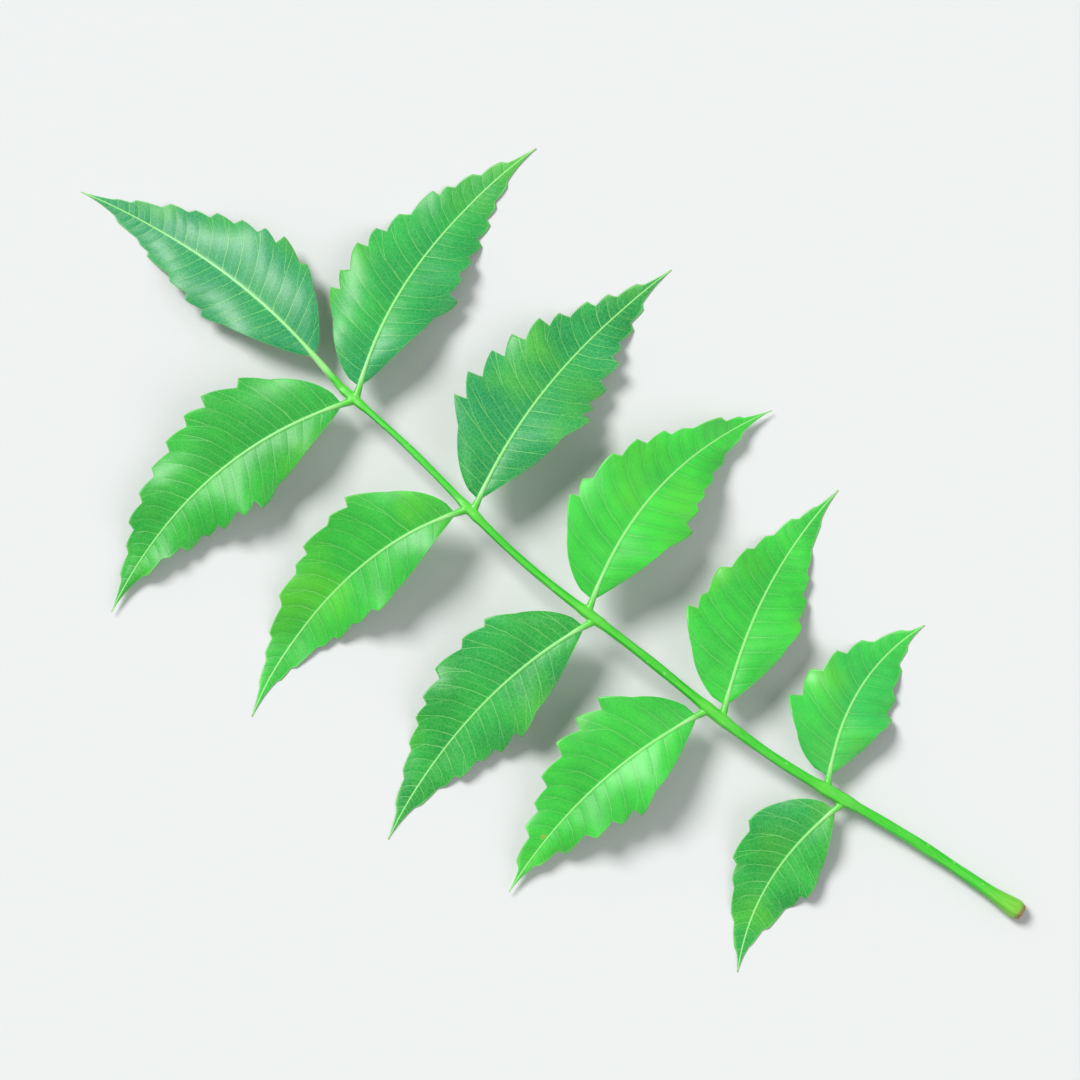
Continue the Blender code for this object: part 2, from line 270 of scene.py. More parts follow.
class NeemLeafForm(bpy.types.PropertyGroup):
    """Sizes of the whole leaf."""

    stalk_length: distance("Stalk Length", "Length of petiole and rachis together", 192)
    petiole_length: distance("Petiole Length", "Length of the stalk before its first pair", 48)
    base_radius: distance("Base Radius", "Stalk radius above the swollen base", 1.35)
    tip_radius: distance("Tip Radius", "Stalk radius at the last pair", 0.75)
    arch: distance("Arch", "Rise of the stalk past its middle", 9.5)
    sway: distance("Sway", "Sideways sweep of the stalk", 6)
    pairs: bpy.props.IntProperty(name="Pairs", description="Pairs of leaflets", default=5, min=2, max=9)
    first_length: distance("First Length", "Length of the first leaflets", 43)
    longest_length: distance("Longest Length", "Length of the last leaflets", 70)
    end_length: distance("End Length", "Length of the end leaflet", 71)
    first_breadth: factor("First Breadth", "Half width over length, first pair", 0.225)
    last_breadth: factor("Last Breadth", "Half width over length, last pair", 0.17)
    first_angle: angle("First Angle", "Angle to the stalk, first pair", 72)
    last_angle: angle("Last Angle", "Angle to the stalk, last pair", 64)
    bend: angle("Bend", "Sickle bend from base to tip", 38)
    tooth_depth: factor("Tooth Depth", "Depth of a tooth over the half width", 0.17)
    tooth_spacing: distance("Tooth Spacing", "Distance from tooth to tooth", 5.8)


class NeemBladeRelief(bpy.types.PropertyGroup):
    """Thickness and relief of the blades."""

    thickness: distance("Thickness", "Thickness between the veins", 0.3)
    margin_thickness: distance("Margin Thickness", "Thickness at the edge", 0.16)
    vein_spacing: distance("Vein Spacing", "Distance between side veins", 3.9)
    vein_width: distance("Vein Width", "Half width of a side vein's ridge", 0.24)
    vein_under: distance("Vein Height", "Height of the side veins below", 0.11)
    vein_over: distance("Vein Groove", "Depth of the side veins above", 0.035)
    quilting: distance("Quilting", "Swelling between two side veins", 0.04)


class NeemLeafColours(bpy.types.PropertyGroup):
    """Colours of the leaf's surfaces."""

    bright: colour("Bright Green", "The blades where they are palest", (0.055, 0.73, 0.055))
    deep: colour("Deep Green", "The blades where they are darkest", (0.005, 0.25, 0.028))
    blue: colour("Blue Green", "The waxy, cooler leaflets", (0.01, 0.3, 0.13))
    vein: colour("Veins", "Midribs and side veins", (0.34, 0.8, 0.24))
    under: colour("Underside", "The paler lower faces", (0.14, 0.46, 0.12))
    stalk: colour("Stalk", "The petiole and the rachis", (0.025, 0.56, 0.012))
    # Also the painted highlight along the stalk's top, as well as its pale streaks and joints
    stalk_pale: colour("Pale Stalk", "The stalk's paler streaks and joints", (0.17, 0.76, 0.08))
    # The ground of the stalk's colour: painted shade on its lower side, and also its dark streaks
    stalk_deep: colour("Deep Stalk", "The stalk's lower side", (0.004, 0.3, 0.006))
    scar: colour("Scar", "The stalk's scar, and specks", (0.3, 0.14, 0.035))
    halo: colour("Halo", "Rings round specks, and dry tips", (0.42, 0.55, 0.05))
    warm: colour("Warm Green", "Yellower patches of the blades", (0.14, 0.62, 0.015))


class NeemStage(bpy.types.PropertyGroup):
    """Table, light and camera."""

    table: colour("Table", "The plain table", (0.74, 0.75, 0.74))
    key: factor("Key", "Strength of the main light", 2.95, 10.0)
    fill: factor("Fill", "Strength of the second light", 0.65, 10.0)
    softness: angle("Softness", "Angle that the main light spans", 24)
    sky: factor("Sky", "Strength of the light from all round", 0.36, 5.0)
    lens: amount("Lens", "Focal length", 85.0, unit="CAMERA")
    reach: distance("Camera Distance", "Distance from the camera to the leaf", 570)
    tilt: angle("Camera Tilt", "Lean of the camera from straight above", 9)
    turn: angle("Camera Turn", "Angle of the stalk in the picture", 38)


def vary(seed):
    """A fixed number from -1 to 1 for each whole seed, so that no two leaflets are alike.

    Along an edge, the seed counts the leaflet, the step and the side in strides of its own.
    """
    turn, start, spread = SCATTER
    return 2 * ((math.sin(seed * turn + start) * spread) % 1) - 1


def smooth_step(low, high, value):
    """0 below low, 1 above high and an even curve between."""
    share = np.clip((value - low) / (high - low), 0, 1)
    return share * share * (3 - 2 * share)


def blend(first, last, share):
    return first + (last - first) * share


def bell(away, width):
    """1 in the middle, with an even fall on both sides."""
    return np.exp(-((away / width) ** 2))


def unit(vectors):
    return vectors / np.maximum(np.linalg.norm(vectors, axis=-1, keepdims=True), 1e-15)


def follow(at, places, points):
    """Points between the given ones of a line, whose places along it are known."""
    return np.stack([np.interp(at, places, points[:, axis]) for axis in range(3)], axis=1)


def stalk_point(along):
    """The stalk's centre line: a slow sway and a slight zigzag, arched past the middle."""
    form = bpy.context.scene.neem_form
    share = along / form.stalk_length
    sway = form.sway * np.sin(SWAY_TURN * share + SWAY_PHASE)
    zigzag = ZIGZAG * np.sin(2 * math.pi * (along - form.petiole_length) / ZIGZAG_LENGTH)
    height = STALK_HEIGHT + form.arch * np.sin(ARCH_TURN * share) ** 2
    return np.stack([STALK_START[0] + along, STALK_START[1] + sway + zigzag, height], axis=-1)


def stalk_directions(along):
    """Level unit vectors along the stalk and to its left."""
    run = stalk_point(along + HALF_STEP) - stalk_point(along - HALF_STEP)
    forward = run * (1, 1, 0) / math.hypot(*run[:2])
    return forward, np.cross(UP, forward)


def stalk_radius(along, joints):
    """Swollen where it left the twig and a little at each joint, with a long even taper."""
    form = bpy.context.scene.neem_form
    taper = form.base_radius + (form.tip_radius - form.base_radius) * along / form.stalk_length
    base = (PULVINUS_RADIUS - form.base_radius) * np.exp(-PULVINUS_FALL * (along / PULVINUS_LENGTH) ** 2)
    swell = sum(bell(along - joint, JOINT_REACH) for joint in joints)
    rounding = 1 - BASE_ROUNDING * bell(along, MM)
    radius = (taper + base) * rounding + JOINT_SWELLING * np.minimum(swell, 1)
    radius = radius * (1 + UNEVENNESS * sum(np.sin(along / length + phase) for length, phase in UNEVEN_WAVES))
    past = np.clip(1 + (along - form.stalk_length) / STALK_TIP, 0, 1)
    return radius * np.sqrt(1 - TIP_ROUNDING * past**2)


def leaflet_plan(number, side, along, length, breadth, turn):
    """Everything that makes one leaflet its own."""
    form = bpy.context.scene.neem_form
    plan = SimpleNamespace(number=number, side=side, along=along, drop=0.0)
    plan.pressed = (number + 1) % FREE_EACH != 0
    for name, (middle, spread, seed) in VARIETY.items():
        setattr(plan, name, middle + spread * vary(number + seed))
    plan.length *= length
    plan.breadth *= breadth
    plan.widest = plan.length * plan.breadth
    plan.bend *= form.bend
    plan.angle += turn
    plan.wave *= MM
    plan.landing += PRESSED_LANDING if plan.pressed else FREE_LANDING
    plan.lowest = -PRESSED_DEPTH if plan.pressed else plan.clearance * MM
    is_end = number == 2 * form.pairs
    plan.stalklet = END_STALKLET_LENGTH if is_end else STALKLET_LENGTH
    plan.outer_base = END_LEAFLET_BASE if is_end else OUTER_BASE
    return plan


def leaflet_plans():
    """The pairs, which don't quite face each other, then the leaflet at the end."""
    form = bpy.context.scene.neem_form
    plans = []
    for pair in range(form.pairs):
        share = pair / (form.pairs - 1)
        growth = math.sin(0.5 * math.pi * share) ** LENGTH_POWER
        length = blend(form.first_length, form.longest_length, growth)
        breadth = blend(form.last_breadth, form.first_breadth, (1 - share) ** BREADTH_POWER)
        turn = blend(form.first_angle, form.last_angle, share)
        run = form.stalk_length - LAST_PAIR_GAP - form.petiole_length
        place = form.petiole_length + run * share**PAIR_POWER
        for side in (1, -1):
            number = 2 * pair + (side < 0)
            along = place + side * PAIR_STAGGER * (1 - share) * (1 if pair % 2 else -1)
            plans.append(leaflet_plan(number, side, along, length, breadth, turn))
    end = form.stalk_length - END_LEAFLET_GAP
    plans.append(leaflet_plan(2 * form.pairs, 1, end, form.end_length, form.last_breadth, END_LEAFLET_ANGLE))
    for plan in plans:
        settle(plan)
    return plans


def edge_width(plan, share, outer):
    """Half a blade's width: a round or narrow base and a long drawn-out tip."""
    edge = EDGES[outer]
    power = plan.outer_base if outer else INNER_BASE
    rise = np.sin(0.5 * math.pi * np.clip(share / edge.peak, 0, 1)) ** power
    run = np.clip((share - edge.peak) / (1 - edge.peak), 0, 1)
    outline = np.where(share < edge.peak, rise, (1 - run**plan.fullness) ** TIP_POWER)
    return TIP_HALF_WIDTH + plan.widest * edge.share * outline


def tooth_corners(plan, outer):
    """The teeth of one edge: where each starts, ends and falls back, and how tall it is."""
    form = bpy.context.scene.neem_form
    first, last = EDGES[outer].teeth
    count = max(LEAST_TEETH, round((last - first) * plan.length / form.tooth_spacing))
    wander = [TOOTH_WANDER * vary(7 * plan.number + 3 * step + outer) for step in range(1, count)]
    tips = first + (last - first) * (np.arange(count + 1) + np.array([0.0, *wander, 0.0])) / count
    notches = tips + TOOTH_DROP * np.append(np.diff(tips), tips[-1] - tips[-2])
    starts = np.append(tips[:1], notches[1:-1])
    spans = tips[1:] - starts
    seed = 11 * plan.number + 3 * outer + 2
    chance = np.array([vary(seed + 5 * step) for step in range(len(spans))])
    tall = (spans / spans.mean()) ** TOOTH_GROWTH * (1 + TOOTH_UNEVENNESS * chance)
    return np.append(np.stack([starts, tips[1:]], axis=1).ravel(), notches[-1]), tall


def saw(plan, share, outer):
    """0 in a notch and about 1 on a tooth's tip: a long convex back and a short hollow front."""
    corners, tall = tooth_corners(plan, outer)
    rising = np.interp(share, corners, np.arange(len(corners)) % 2)
    segment = np.clip(np.searchsorted(corners, share, side="right") - 1, 0, len(corners) - 2)
    back = 1 - (1 - rising) ** plan.tooth_back
    return np.where(segment % 2, rising**TOOTH_FRONT, back) * tall[segment // 2]


def at_edge(outer, measure, plan, share):
    """Measures the edge on each point's side of the midrib."""
    return np.where(outer, measure(plan, share, True), measure(plan, share, False))


def midrib(plan, share):
    """Points on a leaflet's midrib, and the level directions along it and towards the leaf's tip."""
    forward, left = stalk_directions(plan.along)
    outward = left * plan.side
    fine = np.linspace(0, 1, MIDRIB_STEPS + 1)
    heading = plan.angle + plan.bend * fine**BEND_POWER
    run = np.outer(np.cos(heading), forward) + np.outer(np.sin(heading), outward)
    path = np.cumsum(run[:-1] + run[1:], axis=0) * plan.length / (2 * MIDRIB_STEPS)
    start = stalk_point(plan.along) + run[0] * plan.stalklet
    points = start + follow(share, fine, np.vstack([np.zeros(3), path]))
    turned = np.interp(share, fine, heading)
    along = np.outer(np.cos(turned), forward) + np.outer(np.sin(turned), outward)
    towards_tip = np.outer(np.sin(turned), forward) - np.outer(np.cos(turned), outward)
    landing = plan.landing
    fall = np.clip(1 - share / landing, 0, 1) ** 2 * (1 + (2 / landing + plan.lift) * share)
    points[:, 2] = start[2] * fall - plan.drop * smooth_step(0, DROP_SHARE, share)
    return points, along, towards_tip


def blade_points(plan, share, ratio, tooth):
    """Points on the blade's lower face, at signed shares of its half width from the midrib.

    The positive side faces the leaf's tip. It is the wider one and the outside of the bend.
    """
    form = bpy.context.scene.neem_form
    line, along, towards_tip = midrib(plan, share)
    outer = ratio > 0
    width = at_edge(outer, edge_width, plan, share)
    room = (width / plan.widest) ** TOOTH_ROOM * blend(LOW_TOOTH, 1, smooth_step(*LOW_TEETH, share))
    tooth = tooth * room * np.where(outer, 1, INNER_TOOTH) * plan.tooth
    out = width * np.abs(ratio) + plan.widest * form.tooth_depth * tooth
    reach = out / width
    flat = 1 - (FLATTENING * smooth_step(*FLATTENED, share) if plan.pressed else 0)
    soft = FOLD_SOFTNESS / width
    fold = plan.fold * (np.sqrt(reach**2 + soft**2) - soft)
    lift = width * (fold - plan.curl * reach**CURL_POWER)
    ripple = np.sin(2 * math.pi * WAVES * share + plan.phase + np.where(outer, WAVE_LAG, 0))
    swing = ripple * np.sqrt(np.sin(math.pi * np.clip(share, 0, 1))) * smooth_step(0, WAVED_WIDTH, width)
    lift = lift + plan.wave * reach**2 * swing
    turn = plan.twist * share * flat
    cosine, sine = np.cos(turn)[:, None], np.sin(turn)[:, None]
    points = line + (towards_tip * cosine + UP * sine) * (out * np.sign(ratio))[:, None]
    points = points + (UP * cosine - towards_tip * sine) * (lift * flat)[:, None]
    return points + along * (plan.length * TOOTH_LEAN * tooth)[:, None]


def settle(plan):
    """Lowers the leaflet until its lowest point is where the plan wants it."""
    share = np.tile(np.linspace(0, 1, SETTLE_ROWS), SETTLE_COLUMNS)
    ratio = np.repeat(np.linspace(-1, 1, SETTLE_COLUMNS), SETTLE_ROWS)
    teeth = at_edge(ratio > 0, saw, plan, share) * np.abs(ratio) ** SETTLE_TOOTH_REACH
    low, high = DROP_RANGE
    for _ in range(SETTLE_ROUNDS):
        plan.drop = (low + high) / 2
        if blade_points(plan, share, ratio, teeth)[:, 2].min() > plan.lowest:
            low = plan.drop
        else:
            high = plan.drop


def select(*pieces):
    """Selects these pieces and nothing else, with the first one active."""
    if bpy.context.object and bpy.context.object.mode != "OBJECT":
        bpy.ops.object.mode_set(mode="OBJECT")
    bpy.ops.object.select_all(action="DESELECT")
    for piece in pieces:
        piece.select_set(True)
    if pieces:
        bpy.context.view_layer.objects.active = pieces[0]


def apply(piece, title, kind, **settings):
    """Gives the active piece a modifier and applies it."""
    modifier = piece.modifiers.new(title, kind)
    for name, value in settings.items():
        setattr(modifier, name, value)
    bpy.ops.object.modifier_apply(modifier=modifier.name)


def read_points(mesh):
    points = np.zeros(3 * len(mesh.vertices))
    mesh.vertices.foreach_get("co", points)
    return points.reshape(-1, 3)


def write_points(mesh, points):
    mesh.vertices.foreach_set("co", np.asarray(points, np.float32).ravel())
    mesh.update()


def write_values(mesh, name, values):
    """Keeps one number for each vertex, for the materials to read."""
    attribute = mesh.attributes.new(name, "FLOAT", "POINT")
    attribute.data.foreach_set("value", np.asarray(values, np.float32))


def finish_piece(piece, name):
    """Names a piece, shades it smooth and hangs it in the frame in place of the plain solid."""
    piece.name = name
    piece.data.name = name
    select(piece)
    bpy.ops.object.shade_smooth()
    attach(piece, BODY)
    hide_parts(NODE)


def vein_rows(plan, rows, step, outer):
    """The mesh rows that one half's side veins run along."""
    at = [FIRST_VEIN * rows + EDGES[outer].vein * step]
    while at[-1] < LAST_VEIN * rows:
        stride = step * (1 - VEIN_CROWDING * (at[-1] / rows) ** 2)
        chance = vary(13 * plan.number + 5 * len(at) + 2 * outer)
        at.append(at[-1] + stride * (1 + VEIN_UNEVENNESS * chance))
    return np.unique(np.round(at[:-1]).astype(int))


def vein_numbers(plan, rows):
    """For each side and row, the number of the vein there, with parts between two, and how near one is."""
    relief = bpy.context.scene.neem_relief
    step = relief.vein_spacing / plan.length * rows
    row = np.arange(rows + 1)
    number, ridge = {}, {}
    for outer in (True, False):
        at = vein_rows(plan, rows, step, outer)
        number[outer] = np.interp(row, np.r_[at[0] - step, at, at[-1] + step], np.arange(-1, len(at) + 1))
        away = (row[:, None] - at) * plan.length / rows
        ridge[outer] = bell(away, relief.vein_width).max(axis=1)
    return number, ridge


def row_ends(plan, rows, outer):
    """Where each row meets the edge, in shares of the length: swept forward, a row on every corner."""
    row = np.arange(rows + 1)
    start = row / rows
    end = start + VEIN_SWEEP * (edge_width(plan, start, outer) - TIP_HALF_WIDTH) / plan.length
    corners, _ = tooth_corners(plan, outer)
    at = np.round(np.interp(corners, end, row)).astype(int)
    for index in range(1, len(at)):
        at[index] = max(at[index], at[index - 1] + 1)
    return end + np.interp(row, np.r_[0, at, rows], np.r_[0, corners - end[at], 0])


def by_side(outer, rows):
    """For each point of a grid, its row's value on the side of the midrib that it is on."""
    return np.where(outer, rows[True][:, None], rows[False][:, None])


def blade_grid(plan):
    """A blade's grid of rows and columns: where each point is on the blade and in space."""
    rows = round(plan.length / ROW_SPACING)
    signed = -plan.side * np.arange(-SIDE_COLUMNS, SIDE_COLUMNS + 1)
    outer = np.broadcast_to(signed > 0, (rows + 1, len(signed)))
    step = np.abs(signed)
    in_rib = np.minimum(step / RIB_COLUMNS, 1)
    in_blade = np.maximum(step - RIB_COLUMNS, 0) / (SIDE_COLUMNS - RIB_COLUMNS)
    nominal = RIB_SHARE * in_rib + (1 - RIB_SHARE) * in_blade
    start = (np.arange(rows + 1) / rows)[:, None]
    ends = {side: row_ends(plan, rows, side) for side in (True, False)}
    curve = (1 - VEIN_CURVE) * nominal + VEIN_CURVE * nominal**3
    share = start + (by_side(outer, ends) - start) * curve
    width = at_edge(outer, edge_width, plan, share)
    taper = 1 - RIB_TAPER * share
    rib = np.minimum(RIB_HALF_WIDTH * taper, RIB_WIDEST * width)
    ratio = (rib * in_rib + (width - rib) * in_blade) / width
    teeth = by_side(outer, {side: saw(plan, end, side) for side, end in ends.items()}) * nominal**TOOTH_REACH
    base = blade_points(plan, share.ravel(), (ratio * np.sign(signed)).ravel(), teeth.ravel())
    base = base.reshape(rows + 1, -1, 3)
    base[..., 2] = 0.5 * (base[..., 2] + np.sqrt(base[..., 2] ** 2 + FLOOR_SOFTNESS**2))
    rib_away = ratio * width / (RIB_HALF_WIDTH * taper)
    kept = {"rib": rib_away, "edge": (1 - ratio) * width / MM, "length": share}
    columns = dict(in_rib=in_rib, in_blade=in_blade, nominal=nominal, outer=outer)
    return SimpleNamespace(rows=rows, share=share, width=width, taper=taper, base=base, kept=kept, **columns)


def wall_directions(grid):
    """The way the wall goes at each point: across the blade, and one way for all of a narrow row."""
    across = unit(np.cross(np.gradient(grid.base, axis=0), np.gradient(grid.base, axis=1)))
    across *= np.sign(across[..., 2:])
    narrow = np.maximum(smooth_step(*NARROW_TIP, grid.share), 1 - smooth_step(*NARROW_BASE, grid.share))
    across += narrow[..., None] * (across[:, SIDE_COLUMNS : SIDE_COLUMNS + 1] - across)
    return unit(across)


def blade_faces(plan, grid, number, ridge):
    """Upper and lower points of a blade, with its midrib, its side veins and the swelling between."""
    relief = bpy.context.scene.neem_relief
    nominal, taper = grid.nominal, grid.taper
    vein = by_side(grid.outer, ridge) * (1 - VEIN_FADE * nominal)
    swell = np.sin(math.pi * by_side(grid.outer, number)) ** 2
    swell = swell * smooth_step(*SWELL_BEGIN, nominal) * (1 - SWELL_FADE * smooth_step(*SWELL_END, nominal))
    swell = relief.quilting * (swell * smooth_step(0, SWELL_WIDTH, grid.width / plan.widest))
    fullness = 1 - nominal**MARGIN_POWER
    body = blend(relief.margin_thickness, relief.thickness, fullness)
    crest = bell(grid.in_rib, RIB_CREST) * (grid.in_blade == 0)
    keel = np.sqrt(np.clip(1 - grid.in_rib**2, 0, 1))
    over = body + swell - relief.vein_over * vein * smooth_step(*GROOVES_BEGIN, nominal)
    over = over + RIB_OVER * taper * crest
    under = relief.vein_under * vein - SWELL_UNDER * swell + RIB_UNDER * taper * keel
    point = 1 - POINT_THINNING * smooth_step(*POINT, grid.share)
    across = wall_directions(grid)
    upper = grid.base + across * (over * point)[..., None]
    lower = grid.base - across * (under * point)[..., None]
    lower[..., 2] = np.maximum(lower[..., 2], TABLE_GAP)
    upper[..., 2] = np.maximum(upper[..., 2], lower[..., 2] + LEAST_THICKNESS)
    return upper, lower


def leaflet(plan, materials):
    """One leaflet: a grid drawn out to the blade's shape, given its wall, then its relief."""
    grid = blade_grid(plan)
    number, ridge = vein_numbers(plan, grid.rows)
    upper, lower = blade_faces(plan, grid, number, ridge)
    columns = 2 * SIDE_COLUMNS
    select()
    bpy.ops.mesh.primitive_grid_add(x_subdivisions=grid.rows, y_subdivisions=columns, size=2)
    piece = bpy.context.object
    mesh = piece.data
    for material in materials:
        mesh.materials.append(material)
    place = (read_points(mesh) + 1) / 2
    row = np.round(place[:, 0] * grid.rows).astype(int)
    column = np.round(place[:, 1] * columns).astype(int)
    write_points(mesh, upper[row, column])
    thickness = bpy.context.scene.neem_relief.thickness
    apply(piece, "wall", "SOLIDIFY", thickness=thickness, offset=-1, material_offset=1)
    write_points(mesh, np.vstack([upper[row, column], lower[row, column]]))

    row, column = np.tile(row, 2), np.tile(column, 2)
    for name, values in grid.kept.items():
        write_values(mesh, name, values[row, column])
    for name, seed in TONE_DRAWS.items():
        write_values(mesh, name, np.full(len(row), 0.5 + 0.5 * vary(plan.number + seed)))
    corner = np.zeros(len(mesh.loops), int)
    mesh.loops.foreach_get("vertex_index", corner)
    middle = (column[corner].reshape(-1, 4).mean(axis=1) - SIDE_COLUMNS) * -plan.side
    outer = np.repeat(middle > 0, 4)
    along = np.where(outer, number[True][row[corner]], number[False][row[corner]] + INNER_VEINS_FROM)
    veins = np.stack([along, grid.nominal[column[corner]]], axis=1)
    mesh.uv_layers[0].name = "veins"
    mesh.uv_layers[0].uv.foreach_set("vector", veins.astype(np.float32).ravel())
    finish_piece(piece, f"leaflet_{plan.number + 1:02d}")


def cut_into_rings(piece, cut):
    """Cuts the long edges of a tube, which stands upright."""
    bpy.ops.object.mode_set(mode="EDIT")
    bpy.ops.mesh.select_all(action="DESELECT")
    bpy.ops.object.mode_set(mode="OBJECT")
    height = read_points(piece.data)[:, 2]
    for edge in piece.data.edges:
        first, second = edge.vertices
        edge.select = not math.isclose(height[first], height[second], abs_tol=1e-6)
    bpy.ops.object.mode_set(mode="EDIT")
    bpy.ops.mesh.subdivide(number_cuts=cut)
    bpy.ops.object.mode_set(mode="OBJECT")


def tube(points, radii, sides, cuts, groove):
    """A cylinder with its long edges cut into rings, drawn out along a line of points."""
    select()
    bpy.context.tool_settings.mesh_select_mode = (False, True, False)
    bpy.ops.mesh.primitive_cylinder_add(vertices=sides, radius=1, depth=1, end_fill_type="NGON")
    piece = bpy.context.object
    for cut in cuts:
        cut_into_rings(piece, cut)
    place = read_points(piece.data)
    steps = np.arange(len(points))
    where = (place[:, 2] + 0.5) * (len(points) - 1)
    run = unit(follow(where, steps, np.gradient(points, axis=0)))
    level = unit(np.cross(UP, run))
    rise = np.cross(run, level)
    spin = np.arctan2(place[:, 1], place[:, 0])
    radius = np.interp(where, steps, radii)
    radius = radius * (1 - groove * bell(spin - math.pi / 2, GROOVE_ANGLE))
    ring = radius[:, None] * (level * np.cos(spin)[:, None] + rise * np.sin(spin)[:, None])
    placed = follow(where, steps, points) + ring
    placed[:, 2] = np.maximum(placed[:, 2], TABLE_GAP)
    write_points(piece.data, placed)
    return piece


def stalklet(plan):
    """A leaflet's short stalk, out of the stalk's middle and along the foot of the midrib."""
    foot = midrib(plan, STALKLET_FOOT)[0]
    foot[:, 2] += STALKLET_LIFT
    middle = stalk_point(plan.along)
    knots = np.vstack([*(middle + share * (foot[0] - middle) for share in STALKLET_ROOT), foot])
    place = np.r_[0, np.cumsum(np.linalg.norm(np.diff(knots, axis=0), axis=1))]
    fine = np.linspace(0, place[-1], STALKLET_CUTS[0] + 2)
    points = follow(fine, place, knots)
    for _ in range(STALKLET_ROUNDS):
        points[1:-1] = 0.25 * points[:-2] + 0.5 * points[1:-1] + 0.25 * points[2:]
    return tube(points, np.interp(fine, place, STALKLET_RADII), STALKLET_SIDES, STALKLET_CUTS, 0.0)


def add_ribs(stalk):
    """Raises fine ribs along the stalk, and keeps where each point is for the stalk's colours."""
    points = read_points(stalk.data)
    along = points[:, 0] - STALK_START[0]
    out = points - stalk_point(np.clip(along, 0, bpy.context.scene.neem_form.stalk_length))
    reach = np.linalg.norm(out, axis=1)
    ribs = np.cos(STALK_RIBS * np.arctan2(out[:, 2], out[:, 1]) + np.sin(points[:, 0] / STALK_RIB_DRIFT))
    ribs = ribs * smooth_step(*RIBS_BEGIN, reach) * (1 - smooth_step(*RIBS_END, reach))
    points = points + out * (STALK_RIB_HEIGHT * ribs / np.maximum(reach, RIBS_BEGIN[0]))[:, None]
    points[:, 2] = np.maximum(points[:, 2], TABLE_GAP)
    write_points(stalk.data, points)
    write_values(stalk.data, "base", (points[:, 0] - STALK_START[0]) / MM)
    write_values(stalk.data, "stalklet", reach / MM)
    return points


# Materials. A range leads a measure that goes from its first number to its second to a strength that
# goes from its third to its fourth, or from 0 to 1. Scales are per metre
CLOUD_DETAIL, GRAIN_DETAIL, SKIN_ROUGHNESS = 4.0, 2.0, 0.6
CLOUD_RANGE = (0.3, 0.7)

WANDER_SCALE, BREAK_SCALE, NET_SCALE = 260.0, 130.0, 1150.0
VEIN_THINNING = 0.6
MAIN_LINE, FORK_LINE, MINOR_LINE = (0.4, 1.7), (0.3, 1.5), (0.2, 1.1)
FORK_PLACE = (0.0, 1.0, 0.72, 0.5)
FORK_SLANT = 0.9
FORK_RANGE = (0.0, 0.06, 0.0, 0.9)
FAINTNESS_RANGE = (0.0, 1.0, 0.65, 1.0)
BREAK_RANGE = (0.36, 0.6, 0.5, 1.0)
MINOR_RANGE = (0.45, 0.85, 0.45, 0.0)
VEIN_END_RANGE = (0.86, 0.98, 1.0, 0.25)
NET_LINE = (0.02, 0.13, 1.0, 0.0)
MIDRIB_LINE = (0.26, 0.62, 1.0, 0.0)
# The band next to a side vein that gets painted groove shade
PAINTED_GROOVE_SHADE_RANGE = (0.25, 1.3, 1.0, 0.0)
SIDE_HEIGHT, NET_HEIGHT, MIDRIB_HEIGHT = 0.5, 0.18, 0.4

SPECK_SPACING = 21.0
SPECK_RAGGEDNESS = 2.4 * MM
RAGGED_SCALE = 800.0
SPECK_SIZE_RANGE = (0.0, 1.0, 0.45, 1.5)
HALO_LINE, CORE_LINE = (0.5, 2.0), (0.1, 0.8)

CLOUD_IN_SHADE, LEAFLET_IN_SHADE = 0.32, 0.7
COOL_SCALE, COOL_NOISE = 30.0, 0.9
WARM_PLACE, WARM_SCALE = (0.31, 0.17, 0.0), 42.0
NET_RANGE = (0.0, 1.0, 0.13, 0.06)
SIDE_RANGE = (0.1, 0.9, 0.66, 0.34)

STREAK_STRETCH, STREAK_RANGE = (60.0, 1500.0, 1500.0), (0.4, 0.75)
DARK_STREAK_SCALE, DARK_STREAK_RANGE = 2.1, (0.5, 0.72)
DOT_STRETCH, DOT_SHARE, DOT_RANGE = (420.0, 1000.0, 1000.0), 0.3, (0.1, 0.24, 1.0, 0.0)
SCAR_RAGGEDNESS = 0.8

# The coats of colour on each face: a mask, a colour and the mask's strength or range
UPPER_COATS = (
    ("shade", "bright", None),
    ("cool patches", "blue", (0.85, 1.6, 0.0, 0.8)),
    ("warm patches", "warm", (0.5, 0.72, 0.0, 0.45)),
    # Painted shade in the grooves next to the side veins
    ("Painted Groove Shade", "deep", 0.16),
    ("net", "vein", None),
    ("side veins", "vein", None),
    ("Midrib", "vein", 0.95),
    ("edge", "vein", (0.04, 0.26, 0.4, 0.0)),
    ("length", "halo", (0.975, 1.0, 0.0, 0.7)),
    ("Halo", "halo", 0.6),
    ("Core", "scar", 0.45),
)
LOWER_COATS = (
    ("Cloud", "deep", 0.35),
    ("Net", "vein", 0.22),
    ("Side Veins", "vein", 0.75),
    ("Midrib", "vein", 0.95),
)
STALK_COATS = (
    # Painted shade: the stalk darkens towards its lower side, by which way its skin faces
    ("facing for painted light", "stalk", (0.0, 0.95)),
    # Painted highlight along the stalk's top, where its skin faces up
    ("facing for painted light", "stalk_pale", (0.86, 1.0, 0.0, 0.3)),
    ("streaks", "stalk_pale", 0.45),
    ("dark streaks", "stalk_deep", 0.4),
    ("Cloud", "bright", 0.25),
    ("dots", "vein", 0.6),
    ("joint", "stalk_pale", 0.55),
    ("stalklet", "vein", (1.6, 5.5)),
    ("base", "halo", (0.0, 13.0, 0.4, 0.0)),
    ("ragged base", "scar", (0.9, 1.7, 0.9, 0.0)),
)

